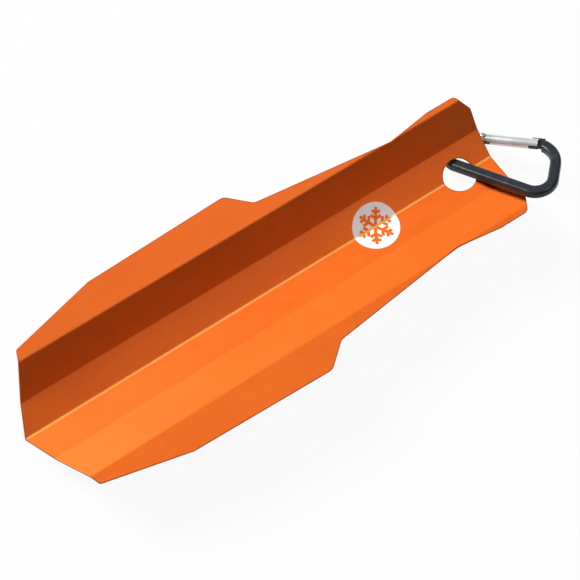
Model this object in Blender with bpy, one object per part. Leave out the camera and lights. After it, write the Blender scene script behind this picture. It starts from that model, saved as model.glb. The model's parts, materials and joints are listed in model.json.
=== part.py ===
"""Folded sheet-metal snow trowel with a clip-on carabiner.

One blank of aluminium sheet is cut to outline, pierced once near the end of its handle and folded
along five straight bends into a scoop. A D-shaped carabiner hangs in the pierced hole: a bent rod,
a gate on a rivet, and a spring with its plunger inside the gate.

Lengths are in metres. In the blade's own frame X runs along the crease from the tip to the handle,
Y across it and Z out of the scoop, with the crease at the origin's height. A parent empty then puts
the middle of the underside of the whole object's box at the world's origin.
"""

import math

import bmesh
import bpy
import numpy as np
from mathutils import Matrix, Vector

# Blade outline, laid flat: runs along the crease and half widths across it
TIP_SWEEP = math.radians(21.5)
TIP_HALF = 0.0411
TAPER_RUN = 0.0462
FRONT_HALF = 0.0515
BLADE_RUN = 0.0792
SHOULDER_HALF = 0.0538
SHOULDER_RUN = 0.0124
ROOT_HALF = 0.0437
GRIP_RUN = 0.0780
NECK_HALF = 0.0352
FLARE_RUN = 0.0250
POMMEL_HALF = 0.0385
POMMEL_RUN = 0.0166
END_CHAMFER = 0.0064
END_HALF = 0.0285
TIP_FILLET = 0.0018
END_FILLET = 0.0030
OUTLINE_FILLET = 0.0050

# Sheet and folds: widths of the facets along the sheet, and the slope of each above the floor
SHEET = 0.0012
INNER_FACET = 0.0163
OUTER_FACET = 0.01935
INNER_RISE = math.radians(17.7)
OUTER_RISE = math.radians(33.1)
WING_RISE = math.radians(6.0)
BEND_RADIUS = 0.0026
BEND_STEPS = 4

# Hole for the carabiner
HOLE_DIAMETER = 0.0180
HOLE_FROM_END = 0.0207

# Where the carabiner's spine passes through the hole, and how it lies there
SEAT_BEARING = math.radians(53.0)
SEAT_TO_RIM = 0.0043
CLIP_YAW = math.radians(-62.0)
CLIP_PITCH = math.radians(30.3)
CLIP_ROLL = math.radians(-11.5)

# Carabiner rod: its section, and the centre line of its D with the spine along local X
ROD_WIDTH = 0.0056
ROD_DEPTH = 0.0053
ROD_CORNER = 0.0011
SEAT_TO_NARROW = 0.0100
SPINE_RUN = 0.0613
NARROW_SPAN = 0.0183
GATE_LEAN = math.radians(15.8)
WIDE_LEAN = math.radians(19.6)
NARROW_BEND = 0.0070
WIDE_BEND = 0.0088
NOSE_BEND = 0.0132
PIVOT_RUN = 0.0125

# Gate, its slots and the tongues that they take
GATE_DIAMETER = 0.0055
GATE_LENGTH = 0.0288
NOSE_SHOW = 0.0031
SLOT_WIDTH = 0.0024
HINGE_SLOT = 0.0042
NOSE_SLOT = 0.0046
HINGE_CAM = 0.0020
NOSE_PROUD = 0.0007
EDGE_CHAMFER = 0.0004

# Pieces inside the gate and through its hinge
RIVET_DIAMETER = 0.0018
RIVET_HEAD = 0.0029
RIVET_HEAD_HEIGHT = 0.0005
BORE_DIAMETER = 0.0030
BORE_END = 0.0172
PLUNGER_STEM = 0.0017
PLUNGER_HEAD_LENGTH = 0.0016
SPRING_WIRE = 0.0004
SPRING_TURNS = 9.5

# Clearance between pieces that touch, and facet counts
GAP = 0.0003
ROUND_SIDES = 24
ARC_STEP = math.radians(14.0)
SPRING_STEPS = 8

COLOURS = {
    "orange": ((0.86, 0.16, 0.012), 0.38, 0.55),
    "black": ((0.012, 0.013, 0.015), 0.34, 0.4),
    "silver": ((0.82, 0.82, 0.81), 0.25, 1.0),
    "steel": ((0.55, 0.55, 0.54), 0.3, 1.0),
}


def clear_scene():
    """Removes whatever the file opened with."""
    for obj in list(bpy.data.objects):
        bpy.data.objects.remove(obj)


def finish_of(name):
    """Principled material of a named finish.

    Args:
        name: key of COLOURS.

    Returns:
        The material, made on first use.
    """
    known = bpy.data.materials.get(name)
    if known:
        return known
    colour, roughness, metallic = COLOURS[name]
    made = bpy.data.materials.new(name)
    made.use_nodes = True
    shader = made.node_tree.nodes["Principled BSDF"]
    shader.inputs["Base Color"].default_value = (*colour, 1.0)
    shader.inputs["Roughness"].default_value = roughness
    shader.inputs["Metallic"].default_value = metallic
    return made


def empty(name, parent=None, matrix=None):
    """Empty that carries pieces.

    Args:
        name: name of the empty.
        parent: empty that it rides on, or None.
        matrix: place relative to the parent, or None for its origin.

    Returns:
        The empty.
    """
    made = bpy.data.objects.new(name, None)
    made.empty_display_size = 0.01
    bpy.context.scene.collection.objects.link(made)
    made.parent = parent
    if matrix is not None:
        made.matrix_local = matrix
    return made


def piece(name, bm, parent, finish=None):
    """Object from a bmesh, shaded smooth except at its sharp edges.

    Args:
        name: name of the piece.
        bm: its mesh, in the parent's frame; freed here.
        parent: empty that it rides on.
        finish: name of its finish, or None for a cutter, which stays out of the render.

    Returns:
        The object.
    """
    mesh = bpy.data.meshes.new(name)
    bmesh.ops.recalc_face_normals(bm, faces=bm.faces)
    bm.to_mesh(mesh)
    bm.free()
    mesh.shade_smooth()
    mesh.set_sharp_from_angle(angle=math.radians(30.0))
    made = bpy.data.objects.new(name, mesh)
    bpy.context.scene.collection.objects.link(made)
    made.parent = parent
    if finish:
        mesh.materials.append(finish_of(finish))
    else:
        made.hide_render = True
        made.display_type = "WIRE"
    return made


def combine(target, other, operation):
    """Adds an exact Boolean to an object.

    Args:
        target: object that keeps the result.
        other: helper that is cut away or joined on.
        operation: DIFFERENCE or UNION.
    """
    modifier = target.modifiers.new(other.name, "BOOLEAN")
    modifier.operation = operation
    modifier.solver = "EXACT"
    modifier.object = other


def filleted(corners, closed):
    """Polygon with its corners rounded by arcs.

    Args:
        corners: list of (point, radius), the points as 2-D vectors.
        closed: whether the last corner joins the first; if not, the two ends stay as they are.

    Returns:
        List of 2-D points.
    """
    points = []
    count = len(corners)
    for index, (corner, radius) in enumerate(corners):
        if not closed and index in (0, count - 1):
            points.append(corner.copy())
            continue
        before = (corners[index - 1][0] - corner).normalized()
        after = (corners[(index + 1) % count][0] - corner).normalized()
        turn = math.pi - before.angle(after)
        if radius <= 0 or turn < 1e-6:
            points.append(corner.copy())
            continue
        tangent = radius * math.tan(turn / 2)
        centre = corner + (before + after).normalized() * (radius / math.cos(turn / 2))
        start = corner + before * tangent - centre
        side = 1.0 if before.x * after.y - before.y * after.x < 0 else -1.0
        steps = max(2, math.ceil(turn / ARC_STEP))
        for step in range(steps + 1):
            points.append(centre + Matrix.Rotation(side * turn * step / steps, 2) @ start)
    return points


def outline_half():
    """Corners of one half of the flat blank, from the tip corner to the handle's end.

    Returns:
        List of (point, fillet radius), the points as (station, half width).
    """
    station = TIP_HALF * math.tan(TIP_SWEEP)
    corners = [(Vector((station, TIP_HALF)), TIP_FILLET)]
    for run, half in (
        (TAPER_RUN, FRONT_HALF),
        (BLADE_RUN, SHOULDER_HALF),
        (SHOULDER_RUN, ROOT_HALF),
        (GRIP_RUN, NECK_HALF),
        (FLARE_RUN, POMMEL_HALF),
    ):
        station += run
        corners.append((Vector((station, half)), OUTLINE_FILLET))
    station += POMMEL_RUN
    corners.append((Vector((station, POMMEL_HALF)), END_FILLET))
    corners.append((Vector((station + END_CHAMFER, END_HALF)), TIP_FILLET))
    return corners


def blade_length():
    """Length of the crease, from the tip to the end of the handle."""
    return outline_half()[-1][0].x


def bends():
    """Bends on one side of the crease.

    Returns:
        List of (distance from the crease along the sheet, slope before, slope after). The crease's
        own bend is the first, shared by both sides.
    """
    return [
        (0.0, -INNER_RISE, INNER_RISE),
        (INNER_FACET, INNER_RISE, OUTER_RISE),
        (INNER_FACET + OUTER_FACET, OUTER_RISE, WING_RISE),
    ]


def bend_reach(before, after):
    """Half the length of sheet that a bend takes up, at the middle of its thickness."""
    return 0.5 * BEND_RADIUS * abs(after - before)


def folded(distance):
    """Where a line of the flat blank comes to lie once it is folded.

    Args:
        distance: signed distance from the crease along the sheet.

    Returns:
        (y, z, slope) of the middle of the sheet there.
    """
    left = abs(distance)
    y = z = done = 0.0
    slope = 0.0
    for place, before, after in bends():
        reach = bend_reach(before, after)
        flat = max(0.0, min(left, place - reach) - done)
        y += flat * math.cos(slope)
        z += flat * math.sin(slope)
        done += flat
        start = max(place - reach, 0.0)
        if left <= start:
            break
        part = min(left, place + reach) - start
        turned = slope + math.copysign(part / BEND_RADIUS, after - before)
        radius = math.copysign(BEND_RADIUS, after - before)
        y += radius * (math.sin(turned) - math.sin(slope))
        z += radius * (math.cos(slope) - math.cos(turned))
        slope = turned
        done = start + part
    rest = max(0.0, left - done)
    y += rest * math.cos(slope)
    z += rest * math.sin(slope)
    side = math.copysign(1.0, distance)
    return side * y, z, side * slope


def hole_centre():
    """Station of the hole's centre along the crease."""
    return blade_length() - HOLE_FROM_END


def make_blade(parent):
    """The scoop: a flat blank with its hole, given its thickness and then folded.

    Args:
        parent: empty that it rides on.

    Returns:
        The object.
    """
    half = outline_half()
    corners = [(Vector((0.0, 0.0)), 0.0)] + half
    corners += [(Vector((point.x, -point.y)), radius) for point, radius in reversed(half)]
    bm = bmesh.new()
    rim = [bm.verts.new((point.x, point.y, SHEET / 2)) for point in filleted(corners, True)]
    turns = [2 * math.pi * step / (2 * ROUND_SIDES) for step in range(2 * ROUND_SIDES)]
    reach = HOLE_DIAMETER / 2
    hole = [
        bm.verts.new((hole_centre() + reach * math.cos(turn), reach * math.sin(turn), SHEET / 2))
        for turn in turns
    ]
    edges = []
    for loop in (rim, hole):
        edges += [bm.edges.new((loop[i - 1], loop[i])) for i in range(len(loop))]
    bmesh.ops.triangle_fill(bm, use_beauty=True, use_dissolve=False, edges=edges)
    for place, before, after in bends():
        arc = bend_reach(before, after)
        for step in range(BEND_STEPS + 1):
            line = place - arc + 2 * arc * step / BEND_STEPS
            for side in (1.0, -1.0) if place else (1.0,):
                bmesh.ops.bisect_plane(
                    bm,
                    geom=bm.verts[:] + bm.edges[:] + bm.faces[:],
                    dist=1e-6,
                    plane_co=(0.0, side * line, 0.0),
                    plane_no=(0.0, 1.0, 0.0),
                )
    under = bmesh.ops.extrude_face_region(bm, geom=bm.faces[:])["geom"]
    for vertex in under:
        if isinstance(vertex, bmesh.types.BMVert):
            vertex.co.z -= SHEET
    for vertex in bm.verts:
        y, z, slope = folded(vertex.co.y)
        height = vertex.co.z
        vertex.co = (
            vertex.co.x,
            y - height * math.sin(slope),
            z + height * math.cos(slope),
        )
    bmesh.ops.triangulate(bm, faces=bm.faces)
    return piece("blade", bm, parent, "orange")


def clip_frame():
    """Frame of the carabiner in the blade's frame.

    Local X runs along the spine, Y across the D towards the gate and Z out of its plane. The origin is
    where the spine's axis meets the middle of the sheet inside the hole.

    Returns:
        4x4 matrix.
    """
    offset = HOLE_DIAMETER / 2 - SEAT_TO_RIM
    across, up, _ = folded(offset * math.sin(SEAT_BEARING))
    seat = Vector((hole_centre() + offset * math.cos(SEAT_BEARING), across, up))
    turn = Matrix.Rotation(CLIP_YAW, 4, "Z") @ Matrix.Rotation(-CLIP_PITCH, 4, "Y")
    return Matrix.Translation(seat) @ turn @ Matrix.Rotation(CLIP_ROLL, 4, "X")


def clip_corners():
    """Corners of the D's centre line in the carabiner's frame.

    Returns:
        (narrow end at the spine, wide end at the spine, nose, narrow end at the gate).
    """
    low = Vector((-SEAT_TO_NARROW, 0.0))
    wide = Vector((low.x + SPINE_RUN, 0.0))
    high = Vector((low.x, NARROW_SPAN))
    gate = Vector((math.cos(GATE_LEAN), math.sin(GATE_LEAN)))
    end = Vector((-math.sin(WIDE_LEAN), math.cos(WIDE_LEAN)))
    apart = wide - high
    along = (apart.x * end.y - apart.y * end.x) / (gate.x * end.y - gate.y * end.x)
    return low, wide, high + gate * along, high


def nose_bend_start():
    """Distance along the gate's line from its pivot to where the nose's bend starts."""
    _, wide, nose, high = clip_corners()
    turn = math.pi - (wide - nose).angle(high - nose)
    return (nose - high).length - PIVOT_RUN - NOSE_BEND * math.tan(turn / 2)


def nose_shoulder():
    """Distance along the gate's line from its pivot to where the nose's tongue ends in full rod."""
    return GATE_LENGTH + NOSE_SHOW


def gate_frame():
    """Frame of the gate in the carabiner's frame: origin on the pivot, X towards the nose."""
    high = clip_corners()[3]
    pivot = high + Vector((math.cos(GATE_LEAN), math.sin(GATE_LEAN))) * PIVOT_RUN
    return Matrix.Translation((pivot.x, pivot.y, 0.0)) @ Matrix.Rotation(GATE_LEAN, 4, "Z")


def tongue_thickness():
    """Thickness of the tongues that stand in the gate's slots."""
    return SLOT_WIDTH - 2 * GAP


def hinge_shoulder():
    """Distance from the pivot back to the end of the full rod."""
    return GATE_DIAMETER / 2 + GAP


def rod_section():
    """Outline of the rod across its path: flats joined by rounded corners.

    Returns:
        List of (across in the plane of the D, out of that plane).
    """
    across, out = ROD_WIDTH / 2, ROD_DEPTH / 2
    corners = [(-across, -out), (across, -out), (across, out), (-across, out)]
    points = []
    for index, (x, y) in enumerate(corners):
        centre = Vector((x - math.copysign(ROD_CORNER, x), y - math.copysign(ROD_CORNER, y)))
        for step in range(4):
            turn = math.pi + index * math.pi / 2 + step * math.pi / 6
            points.append(centre + Vector((math.cos(turn), math.sin(turn))) * ROD_CORNER)
    return points


def slab(name, outline, thickness, parent, hole=None):
    """Flat helper plate: an outline given a thickness about its own plane.

    Args:
        name: name of the helper.
        outline: list of 2-D points.
        thickness: size along local Z.
        parent: empty that it rides on.
        hole: (centre, radius) of a round hole, or None.

    Returns:
        The helper object.
    """
    bm = bmesh.new()
    loops = [[bm.verts.new((point[0], point[1], -thickness / 2)) for point in outline]]
    if hole:
        centre, radius = hole
        turns = [2 * math.pi * step / ROUND_SIDES for step in range(ROUND_SIDES)]
        loops.append(
            [
                bm.verts.new(
                    (
                        centre[0] + radius * math.cos(turn),
                        centre[1] + radius * math.sin(turn),
                        -thickness / 2,
                    )
                )
                for turn in turns
            ]
        )
    edges = []
    for loop in loops:
        edges += [bm.edges.new((loop[i - 1], loop[i])) for i in range(len(loop))]
    bmesh.ops.triangle_fill(bm, use_beauty=True, use_dissolve=False, edges=edges)
    top = bmesh.ops.extrude_face_region(bm, geom=bm.faces[:])["geom"]
    for vertex in top:
        if isinstance(vertex, bmesh.types.BMVert):
            vertex.co.z += thickness
    return piece(name, bm, parent)


def turned(name, profile, parent, finish=None, axis="X"):
    """Piece turned about a local axis.

    Args:
        name: name of the piece.
        profile: list of (place along the axis, radius), from one end to the other.
        parent: empty that it rides on.
        finish: name of its finish, or None for a cutter.
        axis: X or Z, the axis that it is turned about.

    Returns:
        The object.
    """
    bm = bmesh.new()
    rings = []
    for along, radius in profile:
        turns = [2 * math.pi * step / ROUND_SIDES for step in range(ROUND_SIDES)]
        if radius <= 0:
            places = [(along, 0.0, 0.0)]
        else:
            places = [(along, radius * math.cos(turn), radius * math.sin(turn)) for turn in turns]
        if axis == "Z":
            places = [(second, third, first) for first, second, third in places]
        rings.append([bm.verts.new(place) for place in places])
    for first, second in zip(rings, rings[1:]):
        for step in range(ROUND_SIDES):
            before = step - 1
            ring = [first[before % len(first)], first[step % len(first)]]
            ring += [second[step % len(second)], second[before % len(second)]]
            bm.faces.new(list(dict.fromkeys(ring)))
    for ring in (rings[0], rings[-1]):
        if len(ring) > 1:
            bm.faces.new(ring)
    return piece(name, bm, parent, finish)


def make_clip_body(parent, gate_axis):
    """The carabiner's body: a rod bent round the D, with a milled tongue at each end.

    Args:
        parent: the carabiner's empty.
        gate_axis: the gate's empty, whose frame the tongues are laid out in.

    Returns:
        The object.
    """
    low, wide, nose, high = clip_corners()
    gate = Vector((math.cos(GATE_LEAN), math.sin(GATE_LEAN)))
    pivot = high + gate * PIVOT_RUN
    hinge = pivot - gate * hinge_shoulder()
    start_along = min(nose_bend_start(), GATE_LENGTH) - ROD_WIDTH
    start = pivot + gate * start_along
    corners = [
        (nose, NOSE_BEND),
        (wide, WIDE_BEND),
        (low, NARROW_BEND),
        (high, NARROW_BEND),
    ]
    path = filleted([(start, 0.0), *corners, (hinge, 0.0)], False)
    bm = bmesh.new()
    rings = []
    for index, point in enumerate(path):
        before = path[max(index - 1, 0)]
        after = path[min(index + 1, len(path) - 1)]
        heading = (after - before).normalized()
        if index == 0:
            heading = gate
        side = Vector((-heading.y, heading.x))
        rings.append(
            [
                bm.verts.new((point.x + side.x * across, point.y + side.y * across, out))
                for across, out in rod_section()
            ]
        )
    count = len(rings[0])
    for first, second in zip(rings, rings[1:]):
        for step in range(count):
            bm.faces.new((first[step - 1], first[step], second[step], second[step - 1]))
    bm.faces.new(rings[0])
    bm.faces.new(rings[-1])
    body = piece("carabiner_body", bm, parent, "black")
    tongue = tongue_thickness()
    root = ROD_WIDTH / 2
    reach = GATE_DIAMETER / 2 - GAP
    cam = [
        (Vector((-hinge_shoulder() - root, -reach)), 0.0),
        (Vector((HINGE_CAM, -reach)), reach / 3),
        (Vector((HINGE_CAM, reach)), reach / 3),
        (Vector((-hinge_shoulder() - root, reach)), 0.0),
    ]
    hole = (Vector((0.0, 0.0)), RIVET_DIAMETER / 2 + GAP)
    hinge_tongue = slab("hinge_tongue", filleted(cam, True), tongue, gate_axis, hole)
    proud = GATE_DIAMETER / 2 + NOSE_PROUD
    tip = GATE_LENGTH - NOSE_SLOT + 2 * GAP
    shoulder = nose_shoulder()
    key = [
        (Vector((tip, -reach)), reach / 3),
        (Vector((shoulder + root / 2, -reach)), 0.0),
        (Vector((shoulder + root / 2, reach - root / 2)), 0.0),
        (Vector((shoulder - GAP, proud)), 0.0),
        (Vector((tip, proud)), reach / 3),
    ]
    nose_tongue = slab("nose_tongue", filleted(key, True), tongue, gate_axis)
    milled = [
        (start_along - ROD_WIDTH, -ROD_WIDTH),
        (shoulder, -ROD_WIDTH),
        (shoulder, ROD_WIDTH),
        (start_along - ROD_WIDTH, ROD_WIDTH),
    ]
    combine(body, slab("nose_mill_cut", milled, 2 * ROD_DEPTH, gate_axis), "DIFFERENCE")
    combine(body, hinge_tongue, "UNION")
    combine(body, nose_tongue, "UNION")
    return body


def make_gate(parent):
    """The gate: a turned bar with a ball end, slotted at both ends, cross-drilled and bored.

    Args:
        parent: the gate's empty.

    Returns:
        The object.
    """
    radius = GATE_DIAMETER / 2
    ball = [
        (-radius * math.cos(step * math.pi / 12), radius * math.sin(step * math.pi / 12))
        for step in range(7)
    ]
    end = GATE_LENGTH
    bar = ball + [(end - EDGE_CHAMFER, radius), (end, radius - EDGE_CHAMFER)]
    gate = turned("gate", bar, parent, "silver")
    spare = GATE_DIAMETER
    hinge_cut = [
        (-spare, -spare),
        (HINGE_SLOT, -spare),
        (HINGE_SLOT, spare),
        (-spare, spare),
    ]
    nose_cut = [
        (end - NOSE_SLOT, -spare),
        (end + spare, -spare),
        (end + spare, spare),
        (end - NOSE_SLOT, spare),
    ]
    combine(gate, slab("hinge_slot_cut", hinge_cut, SLOT_WIDTH, parent), "DIFFERENCE")
    combine(gate, slab("nose_slot_cut", nose_cut, SLOT_WIDTH, parent), "DIFFERENCE")
    drill = [(-spare, RIVET_DIAMETER / 2 + GAP), (spare, RIVET_DIAMETER / 2 + GAP)]
    combine(gate, turned("rivet_hole_cut", drill, parent, axis="Z"), "DIFFERENCE")
    bore = [(HINGE_SLOT / 2, BORE_DIAMETER / 2), (BORE_END, BORE_DIAMETER / 2)]
    combine(gate, turned("bore_cut", bore, parent), "DIFFERENCE")
    return gate


def make_rivet(parent):
    """The rivet through the gate's cheeks and the body's tongue, headed at both ends.

    Args:
        parent: empty on the gate's pivot that stays with the body.

    Returns:
        The object.
    """
    shank = RIVET_DIAMETER / 2
    seat = GATE_DIAMETER / 2 + GAP
    top = seat + RIVET_HEAD_HEIGHT
    head = RIVET_HEAD / 2
    half = [(seat, shank), (seat, head), (top - EDGE_CHAMFER, head), (top, head - EDGE_CHAMFER)]
    profile = [(-place, radius) for place, radius in reversed(half)] + half
    return turned("gate_rivet", profile, parent, "steel", "Z")


def plunger_ends():
    """Ends of the plunger along the gate: its tip by the tongue, and the back of its head."""
    tip = HINGE_CAM + GAP
    return tip, HINGE_SLOT + GAP + PLUNGER_HEAD_LENGTH


def make_plunger(parent):
    """The plunger that the spring holds against the tongue: a domed stem with a guided head.

    Args:
        parent: the gate's empty.

    Returns:
        The object.
    """
    tip, back = plunger_ends()
    stem = PLUNGER_STEM / 2
    head = BORE_DIAMETER / 2 - GAP
    dome = [
        (tip + stem - stem * math.cos(step * math.pi / 8), stem * math.sin(step * math.pi / 8))
        for step in range(5)
    ]
    seat = back - PLUNGER_HEAD_LENGTH
    profile = dome + [(seat, stem), (seat, head), (back, head)]
    return turned("gate_plunger", profile, parent, "steel")


def make_spring(parent):
    """The return spring behind the plunger: a helix wound as one tube.

    Args:
        parent: the gate's empty.

    Returns:
        The object.
    """
    radius = BORE_DIAMETER / 2 - GAP - SPRING_WIRE / 2
    start = plunger_ends()[1] + GAP + SPRING_WIRE / 2
    end = BORE_END - GAP - SPRING_WIRE / 2
    count = round(SPRING_TURNS * SPRING_STEPS)
    share = np.linspace(0.0, 1.0, count + 1)
    turns = 2 * math.pi * SPRING_TURNS * share
    points = np.stack(
        [start + (end - start) * share, radius * np.cos(turns), radius * np.sin(turns)], axis=1
    )
    apart = np.linalg.norm(points[:, None] - points[None, :], axis=2)
    near = np.abs(np.subtract.outer(np.arange(count + 1), np.arange(count + 1))) < SPRING_STEPS // 2
    least = np.where(near, np.inf, apart).min() - SPRING_WIRE
    print(f"gate_spring: least gap between turns {least * 1000:.2f} mm")
    curve = bpy.data.curves.new("gate_spring", "CURVE")
    curve.dimensions = "3D"
    curve.bevel_depth = SPRING_WIRE / 2
    curve.bevel_resolution = 1
    curve.use_fill_caps = True
    spline = curve.splines.new("POLY")
    spline.points.add(count)
    for point, place in zip(spline.points, points):
        point.co = (*place, 1.0)
    curve.materials.append(finish_of("steel"))
    made = bpy.data.objects.new("gate_spring", curve)
    bpy.context.scene.collection.objects.link(made)
    made.parent = parent
    return made


def world_box(objects):
    """Corners of the box round some objects, as they are evaluated.

    Args:
        objects: the objects.

    Returns:
        (lowest corner, highest corner), as vectors.
    """
    bpy.context.view_layer.update()
    graph = bpy.context.evaluated_depsgraph_get()
    corners = []
    for obj in objects:
        evaluated = obj.evaluated_get(graph)
        mesh = evaluated.to_mesh()
        corners += [evaluated.matrix_world @ vertex.co for vertex in mesh.vertices]
        evaluated.to_mesh_clear()
    low = Vector([min(corner[axis] for corner in corners) for axis in range(3)])
    high = Vector([max(corner[axis] for corner in corners) for axis in range(3)])
    return low, high


def main():
    """Builds every piece and puts the box's underside at the world's origin."""
    clear_scene()
    root = empty("trowel_origin")
    swing = empty("carabiner_swing_axis", root, clip_frame())
    pivot = empty("gate_rivet_axis", swing, gate_frame())
    gate_axis = empty("gate_pivot_axis", swing, gate_frame())
    pieces = [
        make_blade(root),
        make_clip_body(swing, pivot),
        make_rivet(pivot),
        make_gate(gate_axis),
        make_plunger(gate_axis),
        make_spring(gate_axis),
    ]
    low, high = world_box(pieces)
    root.location = (-(low.x + high.x) / 2, -(low.y + high.y) / 2, -low.z)
    bpy.context.view_layer.update()


main()
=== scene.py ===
"""Looks of a folded sheet-metal snow trowel and the carabiner that hangs in its handle.

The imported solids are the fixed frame. The folded blade, the carabiner's rod, its gate, its rivet and
its spring are worked out again here as finer surfaces, in metres and in the frame's own axes: X along
the crease from the tip to the handle, Y across the blade and Z out of its hollow side.
"""

import json
import logging
import math
from collections.abc import Sequence
from dataclasses import dataclass, field
from enum import Enum

import bmesh
import bpy
import numpy as np
from mathutils import Matrix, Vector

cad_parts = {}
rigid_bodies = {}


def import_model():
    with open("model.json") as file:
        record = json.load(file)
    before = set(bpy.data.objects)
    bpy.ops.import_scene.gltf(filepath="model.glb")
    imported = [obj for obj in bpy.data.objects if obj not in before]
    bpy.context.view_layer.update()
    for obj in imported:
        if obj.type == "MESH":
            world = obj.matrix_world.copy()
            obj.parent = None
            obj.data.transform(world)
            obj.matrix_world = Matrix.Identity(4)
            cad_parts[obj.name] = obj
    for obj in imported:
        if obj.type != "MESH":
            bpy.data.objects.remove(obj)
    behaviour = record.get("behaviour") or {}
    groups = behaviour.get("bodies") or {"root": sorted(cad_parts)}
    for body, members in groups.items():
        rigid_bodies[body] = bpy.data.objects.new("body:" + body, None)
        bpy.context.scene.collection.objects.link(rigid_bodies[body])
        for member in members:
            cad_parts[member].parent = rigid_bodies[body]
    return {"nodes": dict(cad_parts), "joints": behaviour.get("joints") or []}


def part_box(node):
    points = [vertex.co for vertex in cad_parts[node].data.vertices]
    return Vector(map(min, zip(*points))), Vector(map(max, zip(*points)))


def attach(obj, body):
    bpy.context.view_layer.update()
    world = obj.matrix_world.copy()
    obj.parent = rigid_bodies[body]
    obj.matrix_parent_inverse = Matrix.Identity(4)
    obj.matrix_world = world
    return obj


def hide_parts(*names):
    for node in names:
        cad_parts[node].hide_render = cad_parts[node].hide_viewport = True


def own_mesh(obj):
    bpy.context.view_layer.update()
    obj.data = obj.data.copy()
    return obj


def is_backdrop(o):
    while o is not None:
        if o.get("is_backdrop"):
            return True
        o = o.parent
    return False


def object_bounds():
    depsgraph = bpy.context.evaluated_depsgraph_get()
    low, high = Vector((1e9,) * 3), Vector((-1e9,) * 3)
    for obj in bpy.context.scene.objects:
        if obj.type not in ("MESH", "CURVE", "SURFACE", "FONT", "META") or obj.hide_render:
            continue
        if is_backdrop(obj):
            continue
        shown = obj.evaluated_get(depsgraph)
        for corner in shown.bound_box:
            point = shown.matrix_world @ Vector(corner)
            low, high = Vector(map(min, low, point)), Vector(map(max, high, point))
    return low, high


LOG = logging.getLogger("trowel")
Array = np.ndarray
Colour = tuple[float, float, float]
IMAGE_SIDE = 580
TOUCHING = 1e-7


class Pattern(Enum):
    """How a noise pattern is stretched over a piece."""

    EVEN = (1.0, 1.0, 1.0)
    ALONG_X = (0.04, 1.0, 1.0)


# Surfaces worked out as arrays


def unit(vectors: Array) -> Array:
    """Vectors over their own lengths, along the last axis."""
    return vectors / np.linalg.norm(vectors, axis=-1, keepdims=True)


def rounded(corners: Array, radii: Array, steps: int, closed: bool = True) -> Array:
    """Outline whose corners are arcs.

    With a and b the unit directions from a corner along its two edges, the arc's centre lies on their
    bisector at radius / cos(turn / 2), and the arc swings the first tangent point round that centre by
    even shares of the turn.

    Args:
        corners: corner points, one per row.
        radii: radius of each corner's arc; 0 keeps the corner.
        steps: steps of each arc.
        closed: whether the last corner joins the first; if not, both ends stay as they are.

    Returns:
        Points of the outline, one per row, with no point twice in a row.
    """
    before = unit(np.roll(corners, 1, axis=0) - corners)
    after = unit(np.roll(corners, -1, axis=0) - corners)
    turn = math.pi - np.arccos(np.clip((before * after).sum(axis=1), -1.0, 1.0))
    centre = corners + unit(before + after) * (radii / np.cos(turn / 2))[:, None]
    start = corners + before * (radii * np.tan(turn / 2))[:, None] - centre
    side = np.where(before[:, 0] * after[:, 1] - before[:, 1] * after[:, 0] < 0, 1.0, -1.0)
    angle = (side * turn)[:, None] * np.linspace(0.0, 1.0, steps + 1)
    swung_x = start[:, :1] * np.cos(angle) - start[:, 1:] * np.sin(angle)
    swung_y = start[:, :1] * np.sin(angle) + start[:, 1:] * np.cos(angle)
    arcs = centre[:, None, :] + np.stack([swung_x, swung_y], axis=2)
    if closed:
        points = arcs.reshape(-1, 2)
    else:
        points = np.vstack([corners[:1], arcs[1:-1].reshape(-1, 2), corners[-1:]])
    apart = np.linalg.norm(points - np.roll(points, 1, axis=0), axis=1)
    return points[apart > TOUCHING]


def miters(loop: Array) -> Array:
    """How far each point of a closed loop moves when the loop grows to its left by one unit.

    With n and m the left normals of a point's two edges, that is (n + m) / (1 + n . m).

    Args:
        loop: points of the loop, one per row.

    Returns:
        One vector per point.
    """
    ahead = unit(np.roll(loop, -1, axis=0) - loop)
    normal = np.stack([-ahead[:, 1], ahead[:, 0]], axis=1)
    back = np.roll(normal, 1, axis=0)
    return (normal + back) / (1.0 + (normal * back).sum(axis=1, keepdims=True))


def tube_faces(stations: int, around: int, capped: bool = True) -> list[list[int]]:
    """Faces of a tube of rings of points.

    Args:
        stations: number of rings.
        around: points in each ring.
        capped: whether each end gets a face.

    Returns:
        Point numbers of each face.
    """
    step = np.arange(around)
    ring = np.arange(stations - 1)[:, None] * around
    here, there = ring + step, ring + (step + 1) % around
    quads = np.stack([here, there, there + around, here + around], axis=2).reshape(-1, 4).tolist()
    if capped:
        quads += [step[::-1].tolist(), (step + (stations - 1) * around).tolist()]
    return quads


def surface(name: str, points: Array, faces: Sequence[Sequence[int]], sharp: float) -> bpy.types.Object:
    """Object from points and faces, its faces turned outwards.

    Args:
        name: name of the piece.
        points: places, one per row.
        faces: point numbers of each face.
        sharp: angle in degrees past which an edge is shaded sharp.

    Returns:
        The object, at the origin.
    """
    mesh = bpy.data.meshes.new(name)
    mesh.from_pydata(points.tolist(), [], faces)
    bm = bmesh.new()
    bm.from_mesh(mesh)
    bmesh.ops.recalc_face_normals(bm, faces=bm.faces)
    bm.to_mesh(mesh)
    bm.free()
    mesh.shade_smooth()
    mesh.set_sharp_from_angle(angle=math.radians(sharp))
    made = bpy.data.objects.new(name, mesh)
    bpy.context.scene.collection.objects.link(made)
    return made


def lathe(profile: Array, sides: int) -> Array:
    """Points of a turned surface about local X: (x, r cos a, r sin a) for each (x, r) and each angle a.

    Args:
        profile: (place along the axis, radius), one per row.
        sides: points round each ring.

    Returns:
        Places, one per row, ring after ring.
    """
    angle = np.linspace(0.0, 2 * math.pi, sides, endpoint=False)
    along = np.repeat(profile[:, :1], sides, axis=1)
    out = profile[:, 1:]
    return np.stack([along, out * np.cos(angle), out * np.sin(angle)], axis=2).reshape(-1, 3)


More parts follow.
